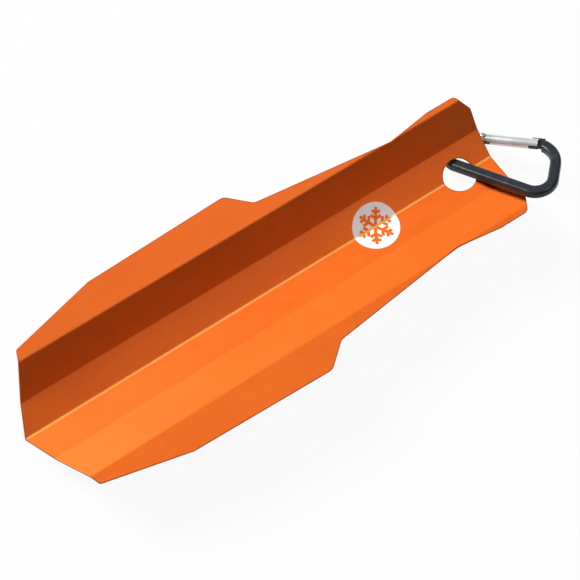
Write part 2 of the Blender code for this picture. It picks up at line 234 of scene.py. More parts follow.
def cut(target: bpy.types.Object, cutters: Sequence[bpy.types.Object]) -> None:
    """Takes closed shapes out of a piece and deletes them.

    Args:
        target: the piece.
        cutters: what is cut away.
    """
    for cutter in cutters:
        modifier = target.modifiers.new(cutter.name, "BOOLEAN")
        modifier.operation = "DIFFERENCE"
        modifier.solver = "EXACT"
        modifier.object = cutter
    graph = bpy.context.evaluated_depsgraph_get()
    whole = target.data
    target.data = bpy.data.meshes.new_from_object(target.evaluated_get(graph))
    target.data.name = target.name
    target.modifiers.clear()
    bpy.data.meshes.remove(whole)
    for cutter in cutters:
        bpy.data.objects.remove(cutter)


@dataclass(frozen=True)
class Place:
    """A frame in space: an origin and three axes."""

    origin: Array
    x: Array
    y: Array
    z: Array

    @classmethod
    def from_axes(cls, origin: Sequence[float], x: Sequence[float], z: Sequence[float]) -> "Place":
        """Frame with the given X, and Z made square to it.

        Args:
            origin: its origin.
            x: direction of its X, of any length.
            z: direction that its Z comes nearest to.

        Returns:
            The frame.
        """
        first = unit(np.array(x, float))
        third = np.array(z, float)
        third = unit(third - first * (first @ third))
        return cls(np.array(origin, float), first, np.cross(third, first), third)

    def out(self, points: Array) -> Array:
        """Points of this frame in the trowel's frame."""
        return self.origin + points @ np.stack([self.x, self.y, self.z])

    def matrix(self) -> Matrix:
        """This frame as a matrix that places an object."""
        axes = np.stack([self.x, self.y, self.z], axis=1).tolist()
        return Matrix.Translation(self.origin) @ Matrix(axes).to_4x4()


# Shader maths


class Value:
    """A number in a node tree. Operators on it add Math nodes."""

    def __init__(self, shader: "Shader", socket: bpy.types.NodeSocket) -> None:
        """Wraps a socket of a shader's tree."""
        self.shader = shader
        self.socket = socket

    def math(self, operation: str, *values: "Value | float") -> "Value":
        """Result of a Math node.

        Args:
            operation: the node's operation.
            values: its inputs in order.

        Returns:
            The result.
        """
        node = self.shader.add("ShaderNodeMath", {"operation": operation}, dict(enumerate(values)))
        return Value(self.shader, node.outputs[0])

    def __add__(self, other: "Value | float") -> "Value":
        """Sum."""
        return self.math("ADD", self, other)

    def __radd__(self, other: float) -> "Value":
        """Sum with a number on the left."""
        return self.math("ADD", other, self)

    def __sub__(self, other: "Value | float") -> "Value":
        """Difference."""
        return self.math("SUBTRACT", self, other)

    def __rsub__(self, other: float) -> "Value":
        """Difference from a number on the left."""
        return self.math("SUBTRACT", other, self)

    def __mul__(self, other: "Value | float") -> "Value":
        """Product."""
        return self.math("MULTIPLY", self, other)

    def __rmul__(self, other: float) -> "Value":
        """Product with a number on the left."""
        return self.math("MULTIPLY", other, self)

    def __truediv__(self, other: "Value | float") -> "Value":
        """Quotient."""
        return self.math("DIVIDE", self, other)

    def __rtruediv__(self, other: float) -> "Value":
        """Quotient of a number on the left."""
        return self.math("DIVIDE", other, self)

    def __pow__(self, other: "Value | float") -> "Value":
        """Power."""
        return self.math("POWER", self, other)

    def __abs__(self) -> "Value":
        """Size without sign."""
        return self.math("ABSOLUTE", self)

    def either(self, other: "Value | float") -> "Value":
        """The larger of two."""
        return self.math("MAXIMUM", self, other)

    def both(self, other: "Value | float") -> "Value":
        """The smaller of two."""
        return self.math("MINIMUM", self, other)

    def ramp(self, low: float, high: float) -> "Value":
        """0 up to low, 1 from high and a smooth step between, or turned round if high < low.

        Args:
            low: where the result is 0.
            high: where it is 1.

        Returns:
            The result.
        """
        settings = {"interpolation_type": "SMOOTHSTEP", "clamp": True}
        inputs = {"Value": self, "From Min": low, "From Max": high}
        if high < low:
            inputs.update({"From Min": high, "From Max": low, "To Min": 1.0, "To Max": 0.0})
        node = self.shader.add("ShaderNodeMapRange", settings, inputs)
        return Value(self.shader, node.outputs[0])


class Shader:
    """A material under construction, with its Principled shader."""

    noise_gain: float = 0.6

    def __init__(self, name: str) -> None:
        """Makes the material and keeps hold of its nodes.

        Args:
            name: the material's name.
        """
        self.material = bpy.data.materials.new(name)
        self.material.use_nodes = True
        self.tree = self.material.node_tree
        self.surface = self.tree.nodes["Principled BSDF"]

    def add(
        self, kind: str, settings: dict | None = None, inputs: dict | None = None
    ) -> bpy.types.Node:
        """Adds a node.

        Args:
            kind: the node's type.
            settings: its properties, set first.
            inputs: value or link of each socket, by name or number.

        Returns:
            The node.
        """
        node = self.tree.nodes.new(kind)
        for key, value in (settings or {}).items():
            setattr(node, key, value)
        for key, value in (inputs or {}).items():
            self.feed(node.inputs[key], value)
        return node

    def feed(self, socket: bpy.types.NodeSocket, value: object) -> None:
        """Sets a socket to a plain value, or links it to a Value or another socket.

        Args:
            socket: input of a node.
            value: number, colour, vector, Value or output of a node.
        """
        if isinstance(value, Value):
            value = value.socket
        if isinstance(value, bpy.types.NodeSocket):
            self.tree.links.new(value, socket)
        elif isinstance(value, tuple) and len(value) == 3 and len(socket.default_value) == 4:
            socket.default_value = (*value, 1.0)
        else:
            socket.default_value = value

    def object_place(self, pattern: Pattern = Pattern.EVEN) -> bpy.types.NodeSocket:
        """Object coordinates, stretched for a pattern.

        Args:
            pattern: how they are stretched.

        Returns:
            The coordinates.
        """
        place = self.add("ShaderNodeTexCoord").outputs["Object"]
        if pattern is Pattern.EVEN:
            return place
        return self.add("ShaderNodeMapping", None, {"Vector": place, "Scale": pattern.value}).outputs[0]

    def noise(self, place: bpy.types.NodeSocket, scale: float, detail: float = 3.0) -> Value:
        """Noise of about 0 to 1 at a number of features per metre."""
        inputs = {"Vector": place, "Scale": scale, "Detail": detail, "Roughness": self.noise_gain}
        return Value(self, self.add("ShaderNodeTexNoise", None, inputs).outputs[0])

    def attribute(self, name: str) -> Value:
        """A piece's own number at each point."""
        return Value(self, self.add("ShaderNodeAttribute", {"attribute_name": name}).outputs["Fac"])

    def mix(self, share: Value, first: object, second: object) -> bpy.types.NodeSocket:
        """Two colours mixed.

        Args:
            share: how much of the second.
            first: colour or socket.
            second: colour or socket.

        Returns:
            The mixed colour.
        """
        inputs = {0: share, 6: first, 7: second}
        return self.add("ShaderNodeMix", {"data_type": "RGBA"}, inputs).outputs[2]

    def bump(self, height: Value, depth: float) -> bpy.types.NodeSocket:
        """Normal of a height of 0 to 1 times a depth in metres."""
        return self.add("ShaderNodeBump", None, {"Height": height, "Distance": depth}).outputs[0]

    def principled(self, **sockets: object) -> bpy.types.Material:
        """Sets sockets of the shader.

        Args:
            sockets: value or link of each, named with underscores for spaces.

        Returns:
            The material.
        """
        for key, value in sockets.items():
            self.feed(self.surface.inputs[key.replace("_", " ")], value)
        return self.material


# Finishes


@dataclass(frozen=True)
class SnowMark:
    """White round print with a six-armed snow crystal left bare in it, in fractions of its radius."""

    station: float = 0.2061
    radius: float = 0.01255
    arm_length: float = 0.80
    arm_half: float = 0.055
    branches: tuple[tuple[float, float], ...] = ((0.34, 0.26), (0.56, 0.20))
    branch_angle: float = math.radians(60.0)
    soft: float = 0.02

    def mask(self, shader: Shader) -> Value:
        """Where there is ink.

        The place on the flat blank is folded into one of twelve equal sectors; there an arm is a band
        along the sector's edge, and each branch a band that leaves it at an angle.

        Args:
            shader: material that the mask belongs to.

        Returns:
            1 on ink and 0 off it.
        """
        blank = shader.add("ShaderNodeUVMap", {"uv_map": "blank"}).outputs[0]
        parts = shader.add("ShaderNodeSeparateXYZ", None, {0: blank}).outputs
        x = (Value(shader, parts[0]) - self.station) / self.radius
        y = Value(shader, parts[1]) / self.radius
        reach = (x * x + y * y) ** 0.5
        sector = x.math("PINGPONG", x.math("ARCTAN2", y, x), math.pi / 6)
        along = reach * x.math("COSINE", sector)
        across = reach * x.math("SINE", sector)
        edge = self.arm_half + self.soft
        tip = along.ramp(self.arm_length + self.soft, self.arm_length)
        flake = across.ramp(edge, self.arm_half).both(tip)
        cosine, sine = math.cos(self.branch_angle), math.sin(self.branch_angle)
        for start, length in self.branches:
            run = (along - start) * cosine + across * sine
            aside = abs((along - start) * sine - across * cosine)
            stub = run.ramp(length + self.soft, length).both(run.ramp(-self.soft, 0.0))
            flake = flake.either(stub.both(aside.ramp(edge, self.arm_half)))
        return reach.ramp(1.0 + self.soft, 1.0) * (1.0 - flake)


@dataclass(frozen=True)
class OrangeSheet:
    """Satin orange anodised sheet with its rolling grain, white print, and a painted highlight on a
    burnished crease.
    """

    colour: Colour = (0.96, 0.168, 0.0080)
    deep: Colour = (0.90, 0.150, 0.0050)
    rim: Colour = (0.45, 0.080, 0.010)
    # Lighter, yellower colour of the crease: partly burnished metal, partly a painted highlight.
    burnished_highlight: Colour = (1.0, 0.50, 0.105)
    ink: Colour = (0.86, 0.86, 0.84)
    # Half width of the crease band that carries the painted highlight.
    burnish_highlight_half: float = 0.0007
    metallic: float = 0.42
    roughness: float = 0.50
    clouds_per_metre: float = 28.0
    streaks_per_metre: float = 900.0
    specks_per_metre: float = 3200.0
    streak_matt: float = 0.10
    cloud_matt: float = 0.06
    speck_matt: float = 0.05
    ink_matt: float = 0.12
    rim_cover: float = 0.8
    grain_depth: float = 0.000006
    mark: SnowMark = field(default_factory=SnowMark)

    def material(self) -> bpy.types.Material:
        """The finish.

        Returns:
            It as a material.
        """
        shader = Shader("orange_anodised_sheet")
        even = shader.object_place()
        rolled = shader.object_place(Pattern.ALONG_X)
        cloud = shader.noise(even, self.clouds_per_metre)
        streak = shader.noise(rolled, self.streaks_per_metre, 2.0)
        speck = shader.noise(even, self.specks_per_metre, 2.0)
        rim = shader.attribute("rim").ramp(0.2, 1.0)
        ink = self.mark.mask(shader)
        tone = (cloud * 0.6 + streak * 0.4).ramp(0.35, 0.70)
        bare = shader.mix(tone, self.deep, self.colour)
        blank = shader.add("ShaderNodeUVMap", {"uv_map": "blank"}).outputs[0]
        aside = abs(Value(shader, shader.add("ShaderNodeSeparateXYZ", None, {0: blank}).outputs[1]))
        # Painted highlight: a lighter, yellower band along the inside of the crease, partly burnished
        # metal and partly the bright line that light draws on the bend.
        burnish_highlight_band = aside.ramp(1.6 * self.burnish_highlight_half, 0.4 * self.burnish_highlight_half)
        bare = shader.mix(burnish_highlight_band * (0.55 + streak * 0.5), bare, self.burnished_highlight)
        edged = shader.mix(rim * self.rim_cover, bare, self.rim)
        matt = self.roughness + (streak - 0.5) * self.streak_matt
        matt = matt + (cloud - 0.5) * self.cloud_matt + (speck - 0.5) * self.speck_matt
        return shader.principled(
            Base_Color=shader.mix(ink, edged, self.ink),
            Metallic=(1.0 - ink) * self.metallic,
            Roughness=matt + ink * self.ink_matt,
            Normal=shader.bump(streak * 0.5 + speck * 0.5 + ink * 0.8, self.grain_depth),
        )


@dataclass(frozen=True)
class BlackRod:
    """Satin black anodising on the carabiner's rod, faintly rubbed."""

    colour: Colour = (0.0255, 0.0290, 0.0340)
    rubbed: Colour = (0.043, 0.047, 0.052)
    roughness: float = 0.24
    shine: float = 0.20
    clouds_per_metre: float = 160.0
    specks_per_metre: float = 4200.0
    cloud_matt: float = 0.12
    speck_matt: float = 0.06
    grain_depth: float = 0.000006

    def material(self) -> bpy.types.Material:
        """The finish.

        Returns:
            It as a material.
        """
        shader = Shader("black_anodised_rod")
        even = shader.object_place()
        cloud = shader.noise(even, self.clouds_per_metre)
        speck = shader.noise(even, self.specks_per_metre, 2.0)
        worn = (cloud * 0.7 + speck * 0.3).ramp(0.50, 0.72)
        matt = self.roughness + (cloud - 0.5) * self.cloud_matt + (speck - 0.5) * self.speck_matt
        return shader.principled(
            Base_Color=shader.mix(worn, self.colour, self.rubbed),
            Metallic=0.0,
            Roughness=matt,
            Specular_IOR_Level=self.shine,
            Normal=shader.bump(speck, self.grain_depth),
        )


@dataclass(frozen=True)
class BareMetal:
    """Bare metal with fine marks from the lathe."""

    name: str
    colour: Colour
    roughness: float
    metallic: float
    dulling: float = 0.82
    clouds_per_metre: float = 240.0
    marks_per_metre: float = 5200.0
    mark_matt: float = 0.10
    cloud_matt: float = 0.08
    mark_depth: float = 0.000005

    def material(self) -> bpy.types.Material:
        """The finish.

        Returns:
            It as a material.
        """
        shader = Shader(self.name)
        even = shader.object_place()
        fine = shader.noise(even, self.marks_per_metre, 2.0)
        cloud = shader.noise(even, self.clouds_per_metre)
        tone = (cloud * 0.5 + fine * 0.5).ramp(0.30, 0.75)
        dull = tuple(self.dulling * part for part in self.colour)
        matt = self.roughness + (fine - 0.5) * self.mark_matt + (cloud - 0.5) * self.cloud_matt
        return shader.principled(
            Base_Color=shader.mix(tone, dull, self.colour),
            Metallic=self.metallic,
            Roughness=matt,
            Normal=shader.bump(fine, self.mark_depth),
        )


# Pieces


@dataclass
class FoldedBlade:
    """The trowel itself: a blank of sheet with one hole, folded along five straight bends.

    The outline is given laid flat, as runs along the crease and half widths across it.
    """

    tip_sweep: float = math.radians(21.5)
    tip_half: float = 0.0411
    runs: tuple[float, ...] = (0.0462, 0.0792, 0.0124, 0.0780, 0.0250, 0.0166, 0.0064)
    halves: tuple[float, ...] = (0.0515, 0.0538, 0.0437, 0.0352, 0.0385, 0.0385, 0.0285)
    fillets: tuple[float, ...] = (0.0050, 0.0050, 0.0050, 0.0050, 0.0050, 0.0030, 0.0018)
    tip_fillet: float = 0.0018
    hole_radius: float = 0.0090
    hole_from_end: float = 0.0207
    sheet: float = 0.0012
    inner_facet: float = 0.0163
    outer_facet: float = 0.01935
    inner_rise: float = math.radians(17.7)
    outer_rise: float = math.radians(33.1)
    wing_rise: float = math.radians(6.0)
    bend_radius: float = 0.0026
    bend_steps: int = 10
    fillet_steps: int = 10
    hole_points: int = 96
    edge_points: int = 5
    fold_samples: int = 40001
    edge_radius: float = 0.00030
    hold: float = 0.00035
    finish: OrangeSheet = field(default_factory=OrangeSheet)

    def bends(self) -> Array:
        """Bends from the crease out to one side.

        Returns:
            (distance along the sheet, slope before, slope after) of each.
        """
        first, second = self.inner_facet, self.inner_facet + self.outer_facet
        return np.array(
            [
                (0.0, -self.inner_rise, self.inner_rise),
                (first, self.inner_rise, self.outer_rise),
                (second, self.outer_rise, self.wing_rise),
            ]
        )

    def reaches(self) -> Array:
        """Half of the sheet that each bend takes up."""
        bends = self.bends()
        return 0.5 * self.bend_radius * np.abs(bends[:, 2] - bends[:, 1])

    def fold(self, flat: Array) -> Array:
        """Folds points of the flat blank.

        The slope along the sheet is constant on each facet and changes evenly through each bend, and
        the middle of the sheet is the running integral of the slope's cosine and sine. A point off the
        middle stands on it along the sheet's normal.

        Args:
            flat: (station, distance from the crease, height over the middle), one per row.

        Returns:
            The folded points in the blade's frame.
        """
        bends, reaches = self.bends(), self.reaches()
        knots = np.stack([bends[:, 0] - reaches, bends[:, 0] + reaches], axis=1).ravel()
        run = np.linspace(0.0, 2 * self.tip_half, self.fold_samples)
        slope = np.interp(run, knots, bends[:, 1:].ravel())
        step = run[1]
        level, steep = np.cos(slope), np.sin(slope)
        across = np.concatenate([[0.0], np.cumsum((level[1:] + level[:-1]) * step / 2)])
        rise = np.concatenate([[0.0], np.cumsum((steep[1:] + steep[:-1]) * step / 2)])
        away, side, height = np.abs(flat[:, 1]), np.sign(flat[:, 1]), flat[:, 2]
        lean = np.interp(away, run, slope)
        y = side * (np.interp(away, run, across) - height * np.sin(lean))
        z = np.interp(away, run, rise) + height * np.cos(lean)
        return np.stack([flat[:, 0], y, z], axis=1)

    def origin(self) -> Array:
        """Tip of the crease, at the middle of the sheet, in the trowel's frame."""
        low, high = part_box("blade")
        return np.array([low.x, (low.y + high.y) / 2, low.z + self.sheet / 2])

    def outline(self) -> Array:
        """The flat blank's outline: its stations and half widths, mirrored in the crease.

        Returns:
            Points with the corners rounded, run clockwise.
        """
        stations = np.cumsum([self.tip_half * math.tan(self.tip_sweep), *self.runs])
        half = np.stack([stations, [self.tip_half, *self.halves]], axis=1)
        corners = np.vstack([[[0.0, 0.0]], half, half[::-1] * [1.0, -1.0]])
        fillets = np.array([self.tip_fillet, *self.fillets])
        return rounded(corners, np.concatenate([[0.0], fillets, fillets[::-1]]), self.fillet_steps)

    def hole(self) -> Array:
        """The hole's outline, a circle on the crease.

        Returns:
            Points run anticlockwise.
        """
        length = self.tip_half * math.tan(self.tip_sweep) + sum(self.runs)
        angle = np.linspace(0.0, 2 * math.pi, self.hole_points, endpoint=False)
        middle = np.array([length - self.hole_from_end, 0.0])
        return middle + self.hole_radius * np.stack([np.cos(angle), np.sin(angle)], axis=1)

    def edge_profile(self) -> Array:
        """Section of a cut edge, down from the top face, round and under.

        Two quarter circles of the edge's radius, with one more ring on each face where the rim ends.

        Returns:
            (inset, height, rim) of each point.
        """
        angle = np.linspace(0.0, math.pi / 2, self.edge_points)
        half, radius = self.sheet / 2, self.edge_radius
        inset = radius * (1.0 - np.sin(angle))
        height = half - radius + radius * np.cos(angle)
        top = np.stack([inset, height, np.ones_like(angle)], axis=1)
        top = np.vstack([[[radius + self.hold, half, 0.0]], top])
        return np.vstack([top, top[::-1] * [1.0, -1.0, 1.0]])

    def blank(self) -> bpy.types.Mesh:
        """The flat blank: rings of its edges' section round both outlines, and two filled faces.

        Returns:
            A closed mesh, split along every line of its bends.
        """
        profile = self.edge_profile()
        points, faces, rims, count = [], [], [], 0
        for loop in (self.outline(), self.hole()):
            rings = loop[None] - miters(loop)[None] * profile[:, :1, None]
            heights = np.broadcast_to(profile[:, 1, None, None], (*rings.shape[:2], 1))
            points.append(np.concatenate([rings, heights], axis=2).reshape(-1, 3))
            rims.append(np.repeat(profile[:, 2], len(loop)))
            faces += (np.array(tube_faces(len(profile), len(loop), False)) + count).tolist()
            count += len(points[-1])
        mesh = bpy.data.meshes.new("folded_blade")
        mesh.from_pydata(np.vstack(points).tolist(), [], faces)
        mesh.attributes.new("rim", "FLOAT", "POINT").data.foreach_set("value", np.concatenate(rims))
        bm = bmesh.new()
        bm.from_mesh(mesh)
        rim_edges = [edge for edge in bm.edges if edge.is_boundary]
        for side in (1.0, -1.0):
            level = [edge for edge in rim_edges if edge.verts[0].co.z * side > 0]
            bmesh.ops.triangle_fill(bm, use_beauty=True, edges=level, normal=(0.0, 0.0, side))
        for line in self.fold_lines():
            every = bm.verts[:] + bm.edges[:] + bm.faces[:]
            bmesh.ops.bisect_plane(
                bm, geom=every, dist=TOUCHING, plane_co=(0, line, 0), plane_no=(0, 1, 0)
            )
        bmesh.ops.recalc_face_normals(bm, faces=bm.faces)
        bm.to_mesh(mesh)
        bm.free()
        return mesh

    def fold_lines(self) -> list[float]:
        """Lines that the blank is split along: even steps through each bend, and one beyond each end.

        Returns:
            Their signed distances from the crease.
        """
        shares = np.linspace(-1.0, 1.0, self.bend_steps + 1)
        lines = self.bends()[:, :1] + self.reaches()[:, None] * shares
        holds = self.bends()[:, :1] + (self.reaches()[:, None] + self.hold) * np.array([-1.0, 1.0])
        every = np.concatenate([lines.ravel(), holds.ravel()])
        return np.unique(np.round(np.concatenate([every, -every]), 7)).tolist()

    def build(self) -> bpy.types.Object:
        """Makes the blade, folded and dressed, in place of its solid.

        Its UV map is the flat blank in metres, with the underside moved aside by one.

        Returns:
            The piece.
        """
        mesh = self.blank()
        flat = np.empty(len(mesh.vertices) * 3)
        mesh.vertices.foreach_get("co", flat)
        flat = flat.reshape(-1, 3)
        mesh.vertices.foreach_set("co", (self.fold(flat) + self.origin()).ravel())
        corner = np.empty(len(mesh.loops), np.int32)
        mesh.loops.foreach_get("vertex_index", corner)
        drawn = flat[corner, :2] + np.where(flat[corner, 2:] < 0, [[0.0, 1.0]], [[0.0, 0.0]])
        mesh.uv_layers.new(name="blank").data.foreach_set("uv", drawn.astype(np.float32).ravel())
        mesh.shade_smooth()
        mesh.update()
        made = bpy.data.objects.new("folded_blade", mesh)
        bpy.context.scene.collection.objects.link(made)
        mesh.materials.append(self.finish.material())
        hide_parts("blade")
        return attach(made, "blade")


@dataclass
class Carabiner:
    """The D-shaped carabiner: a rod with two tongues, a gate on a rivet, and what is in the gate.

    Its plane's X runs along the spine and Y towards the gate. The gate's own frame has its origin on
    the pivot, with X towards the nose.
    """

    joints: list[dict]
    rod_width: float = 0.0056
    rod_depth: float = 0.0053
    rod_corner: float = 0.0016
    seat_to_narrow: float = 0.0100
    spine_run: float = 0.0613
    narrow_span: float = 0.0183
    gate_lean: float = math.radians(15.8)
    wide_lean: float = math.radians(19.6)
    narrow_bend: float = 0.0070
    wide_bend: float = 0.0088
    nose_bend: float = 0.0132
    pivot_run: float = 0.0125
    gate_radius: float = 0.00275
    gate_length: float = 0.0288
    nose_show: float = 0.0031
    slot_width: float = 0.0024
    hinge_slot: float = 0.0042
    nose_slot: float = 0.0046
    hinge_cam: float = 0.0020
    nose_proud: float = 0.0007
    edge: float = 0.00025
    rivet_radius: float = 0.0009
    rivet_head: float = 0.00145
    rivet_head_height: float = 0.0005
    bore_radius: float = 0.0015
    bore_end: float = 0.0172
    plunger_head: float = 0.0016
    wire_radius: float = 0.0002
    spring_turns: float = 9.5
    spring_squeeze: float = 0.0007
    gap: float = 0.0003
    sharp: float = 35.0
    sides: int = 72
    rivet_sides: int = 48
    bend_steps: int = 32
    corner_points: int = 12
    tongue_points: int = 8
    ball_points: int = 20
    ball_pole: float = 0.03
    rim_points: int = 6
    dome_points: int = 10
    dome_pole: float = 0.05
    spring_steps: int = 24
    wire_sides: int = 10
    black: BlackRod = field(default_factory=BlackRod)
    silver: BareMetal = BareMetal("bare_turned_gate", (0.90, 0.90, 0.89), 0.30, 0.55)
    steel: BareMetal = BareMetal("bare_steel_fittings", (0.84, 0.84, 0.83), 0.30, 0.55)

    def joint(self, name: str) -> dict:
        """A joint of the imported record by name."""
        return next(joint for joint in self.joints if joint["name"] == name)

    def clip_place(self) -> Place:
        """Frame of the rod's plane, from the axes of the swing and of the gate."""
        swing, pivot = self.joint("carabiner_swing"), self.joint("gate_pivot")
        return Place.from_axes(swing["pos_m"], -np.array(swing["axis"]), -np.array(pivot["axis"]))

    def gate_place(self) -> Place:
        """Frame of the gate, from its pivot and the plunger's slide inside it."""
        pivot, slide = self.joint("gate_pivot"), self.joint("plunger_slide")
        return Place.from_axes(pivot["pos_m"], slide["axis"], -np.array(pivot["axis"]))

    def gate_line(self) -> tuple[Array, Array]:
        """(pivot, direction towards the nose) in the rod's plane."""
        ahead = np.array([math.cos(self.gate_lean), math.sin(self.gate_lean)])
        return np.array([-self.seat_to_narrow, self.narrow_span]) + ahead * self.pivot_run, ahead

    def centre_line(self) -> Array:
        """The full rod's centre line, from the nose's shoulder round to the hinge's shoulder.

        Straight runs joined by arcs. The wide end's corner at the nose is where its leaning line
        crosses the gate's, and the line starts as far along the gate as the shoulder is.

        Returns:
            Points in the rod's plane.
        """
        pivot, ahead = self.gate_line()
        low = np.array([-self.seat_to_narrow, 0.0])
        wide = low + [self.spine_run, 0.0]
        high = low + [0.0, self.narrow_span]
        up = np.array([-math.sin(self.wide_lean), math.cos(self.wide_lean)])
        apart = wide - high
        run = (apart[0] * up[1] - apart[1] * up[0]) / (ahead[0] * up[1] - ahead[1] * up[0])
        hinge = pivot - ahead * (self.gate_radius + self.gap)
        corners = np.stack([pivot, high + ahead * run, wide, low, high, hinge])
        bends = (0.0, self.nose_bend, self.wide_bend, self.narrow_bend, self.narrow_bend, 0.0)
        line = rounded(corners, np.array(bends), self.bend_steps, False)
        shoulder = self.gate_length + self.nose_show
        past = (line - pivot) @ ahead
        first = int(np.argmax(past > shoulder))
        share = (shoulder - past[first - 1]) / (past[first] - past[first - 1])
        start = line[first - 1] + (line[first] - line[first - 1]) * share
        return np.vstack([start, line[first:]])

    def sections(self, middle: Array, width: Array, depth: Array, corner: Array) -> tuple[Array, Array]:
        """Rounded rectangles across the path, one per station.

        A corner's point is its centre, in from the flats by the corner's radius, plus that radius times
        the cosine and sine of an angle that runs once round the section.

        Args:
            middle: place of each section's middle across the path.
            width: half width of each in the rod's plane.
            depth: half depth of each out of the plane.
            corner: corner radius of each.

        Returns:
            (across, out) for each station and each point of its section.
        """
        quarter = np.linspace(0.0, math.pi / 2, self.corner_points)
        angle = (np.arange(4)[:, None] * (math.pi / 2) + quarter).ravel()
        sign_x = np.repeat([1.0, -1.0, -1.0, 1.0], self.corner_points)
        sign_y = np.repeat([1.0, 1.0, -1.0, -1.0], self.corner_points)
        reach = corner[:, None]
        across = middle[:, None] + sign_x * (width[:, None] - reach) + reach * np.cos(angle)
        out = sign_y * (depth[:, None] - reach) + reach * np.sin(angle)
        return across, out

    def tongue(self, start: float, end: float, low: float, high: float) -> Array:
        """Stations of a tongue that runs along the gate's line, rounded where it starts.

        At an angle a of the rounding the station lies radius (1 - cos a) in from the free end, and its
        sides lie radius (1 - sin a) in from their full width.

        Args:
            start: place of its free end along the line, from the pivot.
            end: place where it meets the rod.
            low: its lower side across the line.
            high: its upper side.

        Returns:
            (x, y, heading x, heading y, middle, half width, half depth, corner) of each station.
        """
        pivot, ahead = self.gate_line()
        radius = (high - low) / 6
        angle = np.linspace(0.0, math.pi / 2, self.tongue_points)
        toward = math.copysign(1.0, end - start)
        along = np.append(start + toward * radius * (1.0 - np.cos(angle)), end)
        inset = np.append(radius * (1.0 - np.sin(angle)), 0.0)
        count = len(along)
        thick = self.slot_width / 2 - self.gap
        fixed = np.broadcast_to([(low + high) / 2], (count, 1))
        return np.hstack(
            [
                pivot + along[:, None] * ahead,
                np.broadcast_to(ahead, (count, 2)),
                fixed,
                ((high - low) / 2 - inset)[:, None],
                np.full((count, 1), thick),
                np.full((count, 1), self.edge / 2),
            ]
        )

    def rod_stations(self) -> Array:
        """Stations of the whole body: the nose's tongue, the bent rod and the hinge's tongue.

        Returns:
            Rows as a tongue's.
        """
        line = self.centre_line()
        ahead = unit(np.gradient(line, axis=0))
        ahead[-1] = self.gate_line()[1]
        count = len(line)
        size = [self.rod_width / 2, self.rod_depth / 2, self.rod_corner]
        full = np.hstack([line, ahead, np.zeros((count, 1)), np.broadcast_to(size, (count, 3))])
        ends = full[[0, -1]].copy()
        ends[:, 5:7] -= self.edge
        full[0, :2] += ahead[0] * self.edge
        full[-1, :2] -= ahead[-1] * self.edge
        reach = self.gate_radius - self.gap
        shoulder = self.gate_length + self.nose_show
        nose_tip = self.gate_length - self.nose_slot + 2 * self.gap
        nose = self.tongue(nose_tip, shoulder, -reach, self.gate_radius + self.nose_proud)
        hinge = self.tongue(self.hinge_cam, -self.gate_radius - self.gap, -reach, reach)
        return np.vstack([nose, ends[:1], full, ends[1:], hinge[::-1]])

    def make_rod(self) -> bpy.types.Object:
        """The body: rounded sections carried along the centre line, with a step at each shoulder.

        Returns:
            The piece.
        """
        stations = self.rod_stations()
        across, out = self.sections(*stations[:, 4:8].T)
        side = np.stack([-stations[:, 3], stations[:, 2]], axis=1)
        plane = stations[:, None, :2] + side[:, None, :] * across[:, :, None]
        points = np.concatenate([plane, out[:, :, None]], axis=2).reshape(-1, 3)
        faces = tube_faces(*across.shape)
        return surface("carabiner_rod", self.clip_place().out(points), faces, self.sharp)

    def make_block(self, name: str, low: Sequence[float], high: Sequence[float]) -> bpy.types.Object:
        """A box in the gate's frame, to be cut away: a rectangle carried along X.

        Args:
            name: its name.
            low: its lowest corner.
            high: its highest corner.

        Returns:
            The box.
        """
        square = np.array([(low[1], low[2]), (high[1], low[2]), (high[1], high[2]), (low[1], high[2])])
        ends = np.repeat([[low[0]], [high[0]]], 4, axis=0)
        points = np.hstack([ends, np.vstack([square, square])])
        return surface(name, self.gate_place().out(points), tube_faces(2, 4), self.sharp)

    def bar_points(self, start: float, end: float, radius: float) -> Array:
        """Points of a plain round bar about local X, a ring at each end."""
        return lathe(np.array([[start, radius], [end, radius]]), self.sides)

    def make_gate(self) -> bpy.types.Object:
        """The gate: a turned bar with a ball end, slotted at both ends, cross-drilled and bored.

        The ball end is (-r cos a, r sin a), and the rim at the nose a quarter circle of the edge.

        Returns:
            The piece.
        """
        radius, end, edge = self.gate_radius, self.gate_length, self.edge
        ball = np.linspace(self.ball_pole, math.pi / 2, self.ball_points)
        round_over = np.linspace(0.0, math.pi / 2, self.rim_points)
        ball_end = np.stack([-radius * np.cos(ball), radius * np.sin(ball)], axis=1)
        rim = [end - edge + edge * np.sin(round_over), radius - edge + edge * np.cos(round_over)]
        profile = np.vstack([ball_end, np.stack(rim, axis=1)])
        place = self.gate_place()
        turned = place.out(lathe(profile, self.sides))
        bar = surface("turned_gate", turned, tube_faces(len(profile), self.sides), self.sharp)
        spare, half = 2 * radius, self.slot_width / 2
        hinge = self.make_block("hinge_slot", (-spare, -spare, -half), (self.hinge_slot, spare, half))
        nose_low, nose_high = (end - self.nose_slot, -spare, -half), (end + spare, spare, half)
        nose = self.make_block("nose_slot", nose_low, nose_high)
        faces = tube_faces(2, self.sides)
        bored = self.bar_points(self.hinge_slot / 2, self.bore_end, self.bore_radius)
        bore = surface("bore", place.out(bored), faces, self.sharp)
        drilled = self.bar_points(-spare, spare, self.rivet_radius + self.gap)[:, [1, 2, 0]]
        drill = surface("drill", place.out(drilled), faces, self.sharp)
        cut(bar, [hinge, nose, drill, bore])
        bar.data.shade_smooth()
        bar.data.set_sharp_from_angle(angle=math.radians(self.sharp))
        return bar

